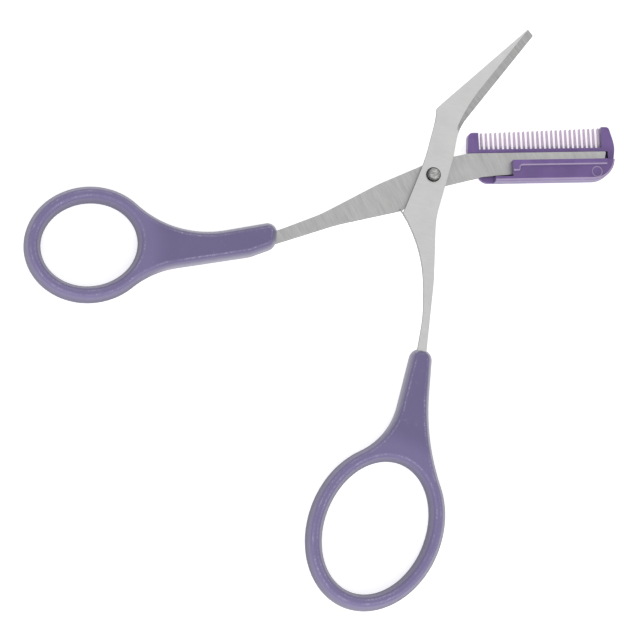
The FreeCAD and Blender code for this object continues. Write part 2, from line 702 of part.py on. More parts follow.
def make_comb(doc, s, levels):
    """The comb that slides on the rear blade: shell, softened rims, ejector ring and teeth."""
    body = new_body(doc, "comb")
    places = comb_frame(s, levels)
    make_comb_shell(body, s, levels, places)
    soften_comb(body, s, levels, places)
    sketch = new_sketch(body, "comb_ejector", offset=levels.comb_front)
    draw_circle(sketch, places.tip - s.ejector_back, s.ejector_out, s.ejector_dia)
    pocket(body, sketch, s.ejector_deep, upward=False)
    make_teeth(body, s, levels, places)
    return body


def check(doc, bodies):
    """Stop unless every object is sound and each piece is one valid solid."""
    for item in doc.Objects:
        if "Invalid" in item.State or "Error" in item.State:
            raise RuntimeError(f"{item.Name} is {item.State}")
    for body in bodies:
        shape = body.Shape
        if shape.isNull() or not shape.isValid() or len(shape.Solids) != 1:
            raise RuntimeError(f"{body.Label} is not one valid solid")


def main():
    doc = FreeCAD.newDocument("eyebrow_scissors")
    s = fill_sheet(doc)
    levels = make_levels(s)
    rear, front, rear_blade, front_blade = make_blades(doc, s, levels)
    rear_handle, front_handle = make_handles(doc, s, rear, front)
    rivet = make_rivet(doc, s, levels)
    comb = make_comb(doc, s, levels)

    # Turn each half into the open pose about the pivot
    turns = {body: s.rear_turn.value for body in (rear_blade, rear_handle, rivet, comb)}
    turns.update({body: (s.rear_turn + s.open_angle).value for body in (front_blade, front_handle)})
    for body, turn in turns.items():
        body.Placement = Placement(Vector(), Rotation(Vector(0, 0, 1), turn))
    doc.recompute()

    # Stand the origin under the middle of the whole
    box = FreeCAD.BoundBox()
    for body in turns:
        box.add(body.Shape.optimalBoundingBox(False))
    pivot = Vector(-box.Center.x, -box.Center.y, -box.ZMin)
    for body in turns:
        body.Placement.Base = pivot
    doc.recompute()
    check(doc, turns)

    os.makedirs("parts", exist_ok=True)
    for body in turns:
        body.Shape.exportStep(f"parts/{body.Label}.step")
        print(f"{body.Label}: volume {body.Shape.Volume:.2f} mm3")
    print(f"pivot at {pivot.x:.4f}, {pivot.y:.4f}, {pivot.z:.4f}")
    print(f"overall {box.XLength:.2f} x {box.YLength:.2f} x {box.ZLength:.2f} mm")


main()
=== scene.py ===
"""Eyebrow scissors with a slide-on comb: two ground steel blades, two moulded handles, a rivet.

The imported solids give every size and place. The script dresses them, softens the comb's and the
blades' corners, forms the hammered rivet, and stands the whole on a pale table under soft light.
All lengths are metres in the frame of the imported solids.
"""
import json
import logging
import math
from dataclasses import dataclass
from enum import Enum

import bmesh
import bpy
import numpy as np
from mathutils import Matrix, Vector


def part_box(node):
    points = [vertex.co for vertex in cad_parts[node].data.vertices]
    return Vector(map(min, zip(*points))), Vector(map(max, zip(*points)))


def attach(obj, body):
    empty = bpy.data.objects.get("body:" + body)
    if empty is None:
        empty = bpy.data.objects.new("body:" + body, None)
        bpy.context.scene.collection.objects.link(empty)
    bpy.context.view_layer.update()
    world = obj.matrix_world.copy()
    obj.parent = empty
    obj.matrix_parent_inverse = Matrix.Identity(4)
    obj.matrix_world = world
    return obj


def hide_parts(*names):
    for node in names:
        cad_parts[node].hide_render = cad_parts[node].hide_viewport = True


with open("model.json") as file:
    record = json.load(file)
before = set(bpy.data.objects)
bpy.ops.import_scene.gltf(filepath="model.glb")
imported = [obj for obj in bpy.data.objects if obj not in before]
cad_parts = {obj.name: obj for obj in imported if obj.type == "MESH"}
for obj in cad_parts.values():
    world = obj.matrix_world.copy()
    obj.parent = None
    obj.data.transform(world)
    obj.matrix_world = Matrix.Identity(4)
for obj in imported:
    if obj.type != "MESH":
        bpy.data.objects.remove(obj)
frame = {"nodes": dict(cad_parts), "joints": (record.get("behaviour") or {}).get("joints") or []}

MM = 0.001
OPEN_ANGLE = math.radians(48.85)  # from the rear cutting edge to the front one, at rest
REAR_RING_REACH = 14.0 * MM  # from a ring's middle to its far end
FRONT_RING_REACH = 18.2 * MM
PANEL_DROP = 0.45 * MM  # from the comb's foremost height down to its panel
MERGE_REACH = 0.0005 * MM  # loose triangles' corners closer than this are one corner
FLAT_WITHIN = math.radians(0.4)  # triangles that bend less than this are one face
SHARP_OVER = math.radians(30)  # edges that bend more than this are rounded
ROUND_STEPS = 3
LOG = logging.getLogger("eyebrow_scissors")

Colour = tuple[float, float, float]


def joint_of(name: str) -> dict:
    """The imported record's joint of that name."""
    return next(joint for joint in frame["joints"] if joint["name"] == name)


def pivot_point() -> Vector:
    """Where the two halves turn about each other."""
    return Vector(joint_of("blade_pivot")["pos_m"])


def rear_turn() -> float:
    """Angle of the rear cutting edge above the X axis, from the way the comb slides, in radians."""
    axis = joint_of("comb_slide")["axis"]
    return math.atan2(axis[1], axis[0])


# ---------------------------------------------------------------- shader graph


class Value:
    """A number carried by a shader socket, with the operators of plain numbers."""

    def __init__(self, graph: "Graph", socket: bpy.types.NodeSocket) -> None:
        """Wrap one output socket.

        Args:
            graph: The graph that adds the Math nodes.
            socket: The output that carries the number.
        """
        self.graph, self.socket = graph, socket

    def _math(self, operation: str, *terms: "Value | float") -> "Value":
        """One Math node on the terms, in their order."""
        node = self.graph.add("ShaderNodeMath", {"operation": operation}, dict(enumerate(terms)))
        return Value(self.graph, node.outputs[0])

    def __add__(self, other: "Value | float") -> "Value":
        """Sum."""
        return self._math("ADD", self, other)

    def __sub__(self, other: "Value | float") -> "Value":
        """Difference."""
        return self._math("SUBTRACT", self, other)

    def __mul__(self, other: "Value | float") -> "Value":
        """Product."""
        return self._math("MULTIPLY", self, other)

    def __rsub__(self, other: float) -> "Value":
        """Difference from a plain number."""
        return self._math("SUBTRACT", other, self)

    def __abs__(self) -> "Value":
        """Size without its sign."""
        return self._math("ABSOLUTE", self)

    def smooth(self, start: float, end: float) -> "Value":
        """A soft step from 0 at start to 1 at end."""
        node = self.graph.add("ShaderNodeMapRange", {"interpolation_type": "SMOOTHSTEP"},
                              {"Value": self, "From Min": start, "From Max": end})
        return Value(self.graph, node.outputs["Result"])


class Graph:
    """A material's node graph."""

    def __init__(self, name: str) -> None:
        """Start an empty material.

        Args:
            name: The material's name.
        """
        self.material = bpy.data.materials.new(name)
        self.material.use_nodes = True
        self.tree = self.material.node_tree
        self.tree.nodes.clear()

    def add(self, kind: str, settings: dict | None = None,
            sockets: dict | None = None) -> bpy.types.Node:
        """Add one node.

        Args:
            kind: The node's type name.
            settings: Properties set before the sockets.
            sockets: A plain value, a Value or an output for each input, by its name or number.

        Returns:
            The new node.
        """
        node = self.tree.nodes.new(kind)
        for name, setting in (settings or {}).items():
            setattr(node, name, setting)
        for key, term in (sockets or {}).items():
            source = term.socket if isinstance(term, Value) else term
            if isinstance(source, bpy.types.NodeSocket):
                self.tree.links.new(source, node.inputs[key])
            else:
                node.inputs[key].default_value = source
        return node

    def place(self) -> bpy.types.NodeSocket:
        """The point on the piece, in metres."""
        return self.add("ShaderNodeTexCoord").outputs["Object"]

    def blade_place(self, turn: float) -> bpy.types.NodeSocket:
        """The point from under the pivot, X along a cutting edge and the height left as it is.

        Args:
            turn: Angle of that edge above the X axis, in radians.

        Returns:
            The point, in metres.
        """
        pivot = pivot_point()
        node = self.add("ShaderNodeMapping", {"vector_type": "TEXTURE"},
                        {"Vector": self.place(), "Location": (pivot.x, pivot.y, 0.0),
                         "Rotation": (0.0, 0.0, turn)})
        return node.outputs["Vector"]

    def split(self, vector: bpy.types.NodeSocket) -> tuple[Value, Value, Value]:
        """The three parts of a vector."""
        node = self.add("ShaderNodeSeparateXYZ", None, {0: vector})
        return tuple(Value(self, output) for output in node.outputs)

    def join(self, x: Value | float, y: Value | float, z: Value | float) -> bpy.types.NodeSocket:
        """A vector from three numbers."""
        return self.add("ShaderNodeCombineXYZ", None, {0: x, 1: y, 2: z}).outputs[0]

    def lean(self) -> Value:
        """How level the surface lies: 1 on a face, 0 on an upright side."""
        normal = self.add("ShaderNodeNewGeometry").outputs["Normal"]
        return abs(self.split(normal)[2])

    def noise(self, vector: bpy.types.NodeSocket, size: float, detail: float = 2.0,
              roughness: float = 0.5, warp: float = 0.0) -> Value:
        """Cloudy variation between 0 and 1.

        Args:
            vector: Where it is read.
            size: Length of one cloud, in the vector's units.
            detail: Octaves of finer clouds.
            roughness: Strength of each finer octave.
            warp: How far the clouds are pulled out of shape.

        Returns:
            The variation.
        """
        node = self.add("ShaderNodeTexNoise", None,
                        {"Vector": vector, "Scale": 1.0 / size, "Detail": detail,
                         "Roughness": roughness, "Distortion": warp})
        return Value(self, node.outputs["Fac"])

    def blend(self, amount: Value | float, first: Colour | bpy.types.NodeSocket,
              second: Colour | bpy.types.NodeSocket) -> bpy.types.NodeSocket:
        """A colour between two.

        Args:
            amount: 0 for the first colour, 1 for the second.
            first: The colour at 0.
            second: The colour at 1.

        Returns:
            The mixed colour.
        """
        ends = [(*end, 1.0) if isinstance(end, tuple) else end for end in (first, second)]
        node = self.add("ShaderNodeMix", {"data_type": "RGBA"}, {0: amount, 6: ends[0], 7: ends[1]})
        return node.outputs[2]

    def bump(self, height: Value, depth: float, below: bpy.types.NodeSocket | None = None
             ) -> bpy.types.NodeSocket:
        """A surface raised by height times depth over the relief below it.

        Args:
            height: The relief, between 0 and 1.
            depth: How high 1 stands, in metres.
            below: The normal over the relief below, where there is one.

        Returns:
            The new normal.
        """
        sockets = {"Height": height, "Distance": depth, "Strength": 1.0}
        if below is not None:
            sockets["Normal"] = below
        return self.add("ShaderNodeBump", None, sockets).outputs["Normal"]

    def finish(self, **sockets: object) -> bpy.types.Material:
        """End in one Principled surface.

        Args:
            **sockets: What feeds each input, its name written with _ for a blank.

        Returns:
            The finished material.
        """
        named = {name.replace("_", " "): term for name, term in sockets.items()}
        surface = self.add("ShaderNodeBsdfPrincipled", None, named)
        self.add("ShaderNodeOutputMaterial", None, {"Surface": surface.outputs[0]})
        return self.material


# ---------------------------------------------------------------- finishes


class Grinding(Enum):
    """How a blade's broad face was ground."""

    ARCS = "bold arcs of a large wheel"
    SATIN = "faint arcs under a satin finish"


@dataclass(frozen=True)
class GroundSteel:
    """Stainless sheet: ground faces, a cross-ground cutting bevel and sheared sides."""

    name: str
    turn: float
    grinding: Grinding
    tone: float
    bevel_tone: float
    wheel: tuple[float, float] = (-70 * MM, -32 * MM)
    line: float = 0.17 * MM
    side_tone: float = 0.36
    tint: Colour = (1.0, 0.998, 0.994)
    face_lean: tuple[float, float] = (0.90, 0.97)
    side_lean: tuple[float, float] = (0.12, 0.4)
    stroke_squeeze: float = 0.05  # strokes are 1 / 0.05 times as long as wide
    band_squeeze: float = 0.12
    cloud_size: float = 4 * MM
    tooth_size: float = 0.22 * MM
    cross_line: float = 0.3 * MM
    shear_line: float = 0.14 * MM
    relief_depth: float = 0.003 * MM

    @property
    def contrast(self) -> float:
        """Depth of shade between the strokes of the wheel."""
        return 0.52 if self.grinding is Grinding.ARCS else 0.10

    @property
    def mottle(self) -> float:
        """Depth of shade in the clouds and the fine tooth."""
        return 0.16 if self.grinding is Grinding.ARCS else 0.14

    def material(self) -> bpy.types.Material:
        """Strokes run round the wheel's middle on the faces and across the edge on the bevel.

        Returns:
            The material.
        """
        graph = Graph(self.name)
        place = graph.blade_place(self.turn)
        along, across, height = graph.split(place)
        from_wheel = graph.add("ShaderNodeVectorMath", {"operation": "DISTANCE"},
                               {0: graph.join(along, across, 0.0), 1: (*self.wheel, 0.0)})
        reach = Value(graph, from_wheel.outputs["Value"])
        long, wide = self.stroke_squeeze, self.band_squeeze
        strokes = graph.noise(graph.join(reach, along * long, across * long), self.line, 3.0, 0.6)
        bands = graph.noise(graph.join(reach, along * wide, across * wide), self.line * 7, 2.0, 0.5)
        clouds = graph.noise(place, self.cloud_size, 4.0, 0.6)
        tooth = graph.noise(place, self.tooth_size, 2.0, 0.6)
        cross = graph.noise(graph.join(along, across * long, height * long), self.cross_line,
                            3.0, 0.7)
        shear = graph.noise(graph.join(along, across, height * wide), self.shear_line, 2.0, 0.6)
        lean = graph.lean()
        face = lean.smooth(*self.face_lean)
        side = 1 - lean.smooth(*self.side_lean)
        slope = (1 - face) * (1 - side)

        face_shade = (strokes - 0.5) * self.contrast + (bands - 0.5) * (self.contrast * 0.5) \
            + (clouds - 0.5) * self.mottle + (tooth - 0.5) * self.mottle + 1.0
        slope_shade = (cross - 0.5) * 0.8 + (tooth - 0.5) * 0.5 + 1.0
        side_shade = (shear - 0.5) * 0.5 + 1.0
        level = face * face_shade * self.tone + slope * slope_shade * self.bevel_tone \
            + side * side_shade * (self.tone * self.side_tone)
        colour = graph.add("ShaderNodeVectorMath", {"operation": "SCALE"},
                           {0: self.tint, "Scale": level}).outputs["Vector"]
        rough = face * ((strokes - 0.5) * 0.3 + 0.42) + slope * ((cross - 0.5) * 0.3 + 0.40) \
            + side * 0.5
        relief = face * strokes + slope * cross + side * shear
        return graph.finish(Base_Color=colour, Metallic=1.0, Roughness=rough,
                            Normal=graph.bump(relief, self.relief_depth))


@dataclass(frozen=True)
class HammeredSteel:
    """The rivet's metal: bright off its middle, with a painted shadow down one side and painted
    shade round the rim.
    """

    name: str
    tone: float = 0.60
    # where the painted shade round the rim begins and is full
    rim_shade_from: float = 1.32 * MM
    rim_shade_to: float = 1.52 * MM
    bright_middle: tuple[float, float] = (0.24 * MM, 0.14 * MM)
    crescent: tuple[float, float] = (1.0 * MM, 1.42 * MM)  # reach from the bright middle
    shoulder: tuple[float, float] = (0.95 * MM, 1.2 * MM)
    tint: Colour = (1.0, 0.995, 0.985)
    mark_size: float = 0.55 * MM
    mark_depth: float = 0.09 * MM
    grain_size: float = 0.1 * MM
    grain_depth: float = 0.006 * MM

    def material(self) -> bpy.types.Material:
        """Hammer marks, a bright middle set off to one side, a painted shadow crescent facing it,
        painted shade round the rim and a slightly darker shoulder.

        Returns:
            The material.
        """
        graph = Graph(self.name)
        place = graph.blade_place(0.0)
        across, up, _ = graph.split(place)
        reach = Value(graph, graph.add("ShaderNodeVectorMath", {"operation": "LENGTH"},
                                       {0: graph.join(across, up, 0.0)}).outputs["Value"])
        from_bright = graph.add("ShaderNodeVectorMath", {"operation": "DISTANCE"},
                                {0: graph.join(across, up, 0.0), 1: (*self.bright_middle, 0.0)})
        # painted shadow: a crescent darkened down the side away from the bright middle
        shadow = Value(graph, from_bright.outputs["Value"]).smooth(*self.crescent)
        marks = graph.noise(place, self.mark_size, 2.0, 0.6, 0.8).smooth(0.36, 0.66)
        grain = graph.noise(place, self.grain_size, 2.0, 0.6)
        # the shoulder is darkened a little
        shoulder_darkening = reach.smooth(*self.shoulder)
        # painted shade round the rim, where the head meets the blade
        rim = reach.smooth(self.rim_shade_from, self.rim_shade_to)
        level = ((marks - 0.5) * 0.6 + (grain - 0.5) * 0.3 + 1.0 - shoulder_darkening * 0.15) \
            * (1 - rim * 0.86) * (1 - shadow * 0.62) * self.tone
        colour = graph.add("ShaderNodeVectorMath", {"operation": "SCALE"},
                           {0: self.tint, "Scale": level}).outputs["Vector"]
        relief = graph.bump(marks, self.mark_depth)
        relief = graph.bump(grain, self.grain_depth, relief)
        return graph.finish(Base_Color=colour, Metallic=1.0,
                            Roughness=(marks - 0.5) * 0.3 + rim * 0.25 + 0.36, Normal=relief)


@dataclass(frozen=True)
class MouldedPlastic:
    """Opaque moulded plastic, paler on the ring, with a fine grain, scuffs, painted highlight lines
    on its rims, painted shade on its flanks and sides, and a painted reflection on the neck.
    """

    name: str
    ring: tuple[float, float]
    ring_reach: float
    face: Colour = (0.205, 0.172, 0.340)
    deep: Colour = (0.150, 0.126, 0.262)
    # painted shade on the upright flanks
    flank_shade: Colour = (0.112, 0.100, 0.165)
    # painted shade on the ring's sides near the parting line
    low: Colour = (0.075, 0.072, 0.092)
    # pale painted reflection on the neck's sides near the parting line
    neck_reflection: Colour = (0.42, 0.41, 0.44)
    # pale colour of the painted highlight lines along the rims, and of the real scuffs
    scuff_and_rim_highlight: Colour = (0.52, 0.48, 0.62)
    roughness: float = 0.36
    grain: float = 0.16 * MM
    parting_z: float = 2.5 * MM
    neck_from: float = -1.5 * MM  # beyond the ring's reach
    neck_to: float = 3.5 * MM
    shade_and_reflection_band: tuple[float, float] = (0.2 * MM, 1.9 * MM)  # off the parting line
    seam_band: tuple[float, float] = (0.03 * MM, 0.09 * MM)
    flank_lean: tuple[float, float] = (0.40, 0.88)
    rim_lean: tuple[float, float, float, float] = (0.84, 0.93, 0.97, 0.998)
    cloud_size: float = 7 * MM
    speck_size: float = 0.45 * MM
    highlight_patch_size: float = 4 * MM
    scuff_size: float = 1.6 * MM
    grain_depth: float = 0.004 * MM
    seam_depth: float = 0.03 * MM

    def material(self) -> bpy.types.Material:
        """Clouded colour, paler on the ring, mould grain, a parting line, scuffs, painted highlight
        lines along the rims, painted shade on the flanks and near the parting line, and a painted
        reflection there on the neck.

        Returns:
            The material.
        """
        graph = Graph(self.name)
        place = graph.place()
        x, y, height = graph.split(place)
        from_ring = graph.add("ShaderNodeVectorMath", {"operation": "DISTANCE"},
                              {0: graph.join(x, y, 0.0), 1: (*self.ring, 0.0)})
        neck = Value(graph, from_ring.outputs["Value"]).smooth(self.ring_reach + self.neck_from,
                                                               self.ring_reach + self.neck_to)
        clouds = graph.noise(place, self.cloud_size, 3.0, 0.55)
        grain = graph.noise(place, self.grain, 2.0, 0.6)
        specks = graph.noise(place, self.speck_size, 2.0, 0.7, 0.5)
        lean = graph.lean()
        # the rims' rounding, where the highlight lines are painted
        rim = lean.smooth(*self.rim_lean[:2]) * (1 - lean.smooth(*self.rim_lean[2:]))
        highlight_patches = graph.noise(place, self.highlight_patch_size, 2.0, 0.6).smooth(0.42, 0.6)
        flank_shade = 1 - lean.smooth(*self.flank_lean)
        low = 1 - abs(height - self.parting_z).smooth(*self.shade_and_reflection_band)
        scuffs = graph.noise(place, self.scuff_size, 4.0, 0.7, 0.8).smooth(0.60, 0.70)
        # painted highlight: pale dotted lines along the rims, broken up in patches
        scuff_and_rim_highlight = rim * (specks.smooth(0.48, 0.62) * 0.8 + 0.2) * (highlight_patches * 0.7 + 0.3) * 0.58
        seam = 1 - abs(height - self.parting_z).smooth(*self.seam_band)
        colour = graph.blend((clouds - 0.5) * 0.5 + 0.85 - neck * 0.75, self.deep, self.face)
        # painted shade on the flanks
        colour = graph.blend(flank_shade * 0.5, colour, self.flank_shade)
        # painted shade on the ring's sides and a painted reflection on the neck's, near the parting
        # line
        colour = graph.blend(low * 0.6, colour, graph.blend(neck, self.low, self.neck_reflection))
        colour = graph.blend(scuff_and_rim_highlight, colour, self.scuff_and_rim_highlight)
        # real scuffs, in the same pale colour
        colour = graph.blend(scuffs * 0.10, colour, self.scuff_and_rim_highlight)
        relief = graph.bump(grain, self.grain_depth)
        relief = graph.bump(seam, self.seam_depth, relief)
        rough = (grain - 0.5) * 0.18 + scuffs * 0.1 - rim * 0.08 + self.roughness
        return graph.finish(Base_Color=colour, Roughness=rough, IOR=1.56, Normal=relief)


@dataclass(frozen=True)
class CombPlastic:
    """The comb's clearer plastic: the light through its thin teeth is painted as a much paler
    colour than its body, with painted highlights and painted shade.
    """

    name: str
    body: Colour
    deep: Colour
    # pale colour that paints the light through the thin teeth; also the painted highlights on rims
    # and the ejector ring
    teeth: Colour
    # painted highlight on the sloped fillets
    slope_highlight: Colour
    # painted shade on the comb's upright sides
    side: Colour
    turn: float
    panel_z: float
    root_out: float = 5.9 * MM
    roughness: float = 0.36
    left_side: float = 11.1 * MM
    right_side: float = 38.2 * MM
    ejector: tuple[float, float] = (36.7 * MM, 0.1 * MM)
    ejector_radius: float = 1.1 * MM
    cloud_size: float = 4 * MM
    grain_size: float = 0.12 * MM
    flow_size: float = 0.8 * MM
    flow_depth: float = 0.012 * MM
    mark_depth: float = 0.05 * MM
    grain_depth: float = 0.003 * MM
    # how dark the painted shade in the recessed panel is
    panel_shade: float = 0.62

    def material(self) -> bpy.types.Material:
        """Body colour up to the teeth's roots, then a pale colour that paints the light through the
        thin plastic; painted shade on the sides and in the panel, painted highlights on rims,
        slopes and the ejector ring's mark.

        Returns:
            The material.
        """
        graph = Graph(self.name)
        place = graph.blade_place(self.turn)
        along, across, height = graph.split(place)
        clouds = graph.noise(place, self.cloud_size, 3.0, 0.55)
        grain = graph.noise(place, self.grain_size, 2.0, 0.6)
        flow = graph.noise(graph.join(along * 0.25, across, height), self.flow_size, 2.0, 0.5)
        between = along.smooth(self.left_side - 0.2 * MM, self.left_side + 0.1 * MM) \
            * (1 - along.smooth(self.right_side - 0.1 * MM, self.right_side + 0.2 * MM))
        thin = across.smooth(self.root_out - 0.5 * MM, self.root_out + 1.0 * MM) * between
        lean = graph.lean()
        rim = lean.smooth(0.35, 0.7) * (1 - lean.smooth(0.9, 0.99))
        colour = graph.blend(clouds.smooth(0.3, 0.7), self.deep, self.body)
        from_pin = graph.add("ShaderNodeVectorMath", {"operation": "DISTANCE"},
                             {0: graph.join(along, across, 0.0), 1: (*self.ejector, 0.0)})
        gap = abs(Value(graph, from_pin.outputs["Value"]) - self.ejector_radius)
        front = height.smooth(self.panel_z - 0.12 * MM, self.panel_z - 0.09 * MM)
        ring = (1 - gap.smooth(0.04 * MM, 0.15 * MM)) * front
        # painted shade in the recessed panel under the rail
        panel = front * (1 - height.smooth(self.panel_z + 0.02 * MM, self.panel_z + 0.3 * MM)) \
            * lean.smooth(0.9, 0.99)
        panel_shade_tone = tuple(part * self.panel_shade for part in self.deep)
        colour = graph.blend(panel * 0.25, colour, panel_shade_tone)
        slope = (1 - lean.smooth(0.95, 0.999)) * lean.smooth(0.12, 0.4)
        # painted shade on the upright sides
        side = 1 - lean.smooth(0.2, 0.6)
        colour = graph.blend(side * 0.6, colour, self.side)
        # painted highlight on the sloped fillets near the front
        colour = graph.blend(slope * front * 0.65, colour, self.slope_highlight)
        # painted light through the thin teeth
        colour = graph.blend(thin, colour, self.teeth)
        # painted highlight on the rounded rims
        colour = graph.blend(rim * 0.35, colour, self.teeth)
        # painted highlight on the ejector ring's mark
        colour = graph.blend(ring * 0.45, colour, self.teeth)
        relief = graph.bump(flow, self.flow_depth)
        relief = graph.bump(ring, self.mark_depth, relief)
        relief = graph.bump(grain, self.grain_depth, relief)
        rough = (grain - 0.5) * 0.15 + (flow - 0.5) * 0.12 + self.roughness
        return graph.finish(Base_Color=colour, Roughness=rough, IOR=1.53,
                            Subsurface_Weight=0.12, Subsurface_Radius=(1.0, 0.7, 1.0),
                            Subsurface_Scale=0.6 * MM, Normal=relief)


@dataclass(frozen=True)
class TableTop:
    """A plain pale light table with the faintest tooth."""

    name: str = "pale_table"
    tone: Colour = (0.93, 0.93, 0.93)
    glow: float = 0.55
    dulled: float = 0.985
    tooth_size: float = 0.6 * MM
    tooth_depth: float = 0.004 * MM

    def material(self) -> bpy.types.Material:
        """Matt and almost even, and it glows a little.

        Returns:
            The material.
        """
        graph = Graph(self.name)
        tooth = graph.noise(graph.place(), self.tooth_size, 2.0)
        dull = tuple(part * self.dulled for part in self.tone)
        return graph.finish(Base_Color=graph.blend(tooth, dull, self.tone), Roughness=0.9,
                            Emission_Color=(1.0, 1.0, 1.0, 1.0), Emission_Strength=self.glow,
                            Normal=graph.bump(tooth, self.tooth_depth))


# ---------------------------------------------------------------- making and dressing pieces


def grid_mesh(name: str, points: np.ndarray) -> bpy.types.Mesh:
    """A smooth mesh on a grid that closes round its columns, with a pole at each end.

    Args:
        name: The mesh's name.
        points: Rows by columns by 3; the first and last rows are each one repeated point.

    Returns:
        The closed mesh, with its faces outwards when rows run down and columns turn left-handed.
    """
    rows, columns = points.shape[:2]
    rings = points[1:-1].reshape(-1, 3)
    vertices = np.vstack([points[0, :1], rings, points[-1, :1]])
    ring = np.arange(columns)
    after = np.roll(ring, -1)
    start = 1 + np.arange(rows - 3)[:, None] * columns
    quads = np.stack([start + ring, start + columns + ring, start + columns + after, start + after],
                     axis=-1).reshape(-1, 4)
    first = np.stack([np.zeros_like(ring), 1 + ring, 1 + after], axis=-1)
    base = 1 + (rows - 3) * columns
    last = np.stack([np.full_like(ring, len(vertices) - 1), base + after, base + ring], axis=-1)
    mesh = bpy.data.meshes.new(name)
    mesh.from_pydata(vertices.tolist(), [], first.tolist() + quads.tolist() + last.tolist())
    mesh.shade_smooth()
    mesh.update()
    return mesh


def add_piece(name: str, mesh: bpy.types.Mesh) -> bpy.types.Object:
    """Show a mesh as a piece that stands at the origin.

    Args:
        name: The piece's name.
        mesh: Its shape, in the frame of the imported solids.

    Returns:
        The piece.
    """
    piece = bpy.data.objects.new(name, mesh)
    bpy.context.scene.collection.objects.link(piece)
    return piece


def dress(piece: bpy.types.Object, material: bpy.types.Material) -> None:
    """Give the whole piece one material."""
    piece.data.materials.clear()
    piece.data.materials.append(material)


def softened_copy(node: str, name: str, radius: float) -> bpy.types.Object:
    """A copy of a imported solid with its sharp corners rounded.

    The copy's loose triangles are merged and its flat faces made whole, and a Bevel modifier
    rounds every edge that bends more than SHARP_OVER.

    Args:
        node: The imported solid.
        name: The new piece's name.
        radius: How far the rounding reaches from a corner.

    Returns:
        The new piece.
    """
    mesh = bpy.data.meshes.new(name)
    shape = bmesh.new()
    shape.from_mesh(frame["nodes"][node].data)
    bmesh.ops.remove_doubles(shape, verts=shape.verts, dist=MERGE_REACH)
    bmesh.ops.dissolve_limit(shape, angle_limit=FLAT_WITHIN, verts=shape.verts, edges=shape.edges)
    shape.to_mesh(mesh)
    shape.free()
    mesh.shade_smooth()
    piece = add_piece(name, mesh)
    bevel = piece.modifiers.new("soft_corners", "BEVEL")
    bevel.width, bevel.segments = radius, ROUND_STEPS
    bevel.limit_method, bevel.angle_limit = "ANGLE", SHARP_OVER
    normals = piece.modifiers.new("face_normals", "WEIGHTED_NORMAL")
    normals.mode, normals.weight = "FACE_AREA", 100
    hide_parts(node)
    return piece


# ---------------------------------------------------------------- sub-assemblies


@dataclass
class Half:
    """One half of the scissors: a blade and the handle moulded over its tang."""

    side: str
    steel: GroundSteel
    plastic: MouldedPlastic
    edge_round: float = 0.07 * MM

    def build(self) -> list[bpy.types.Object]:
        """Soften and dress the blade, and dress the handle.

        Returns:
            The half's pieces.
        """
        blade = softened_copy(f"{self.side}_blade", f"{self.side}_blade_ground", self.edge_round)
        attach(blade, f"{self.side}_half")
        dress(blade, self.steel.material())
        handle = frame["nodes"][f"{self.side}_handle"]
        dress(handle, self.plastic.material())
        return [blade, handle]


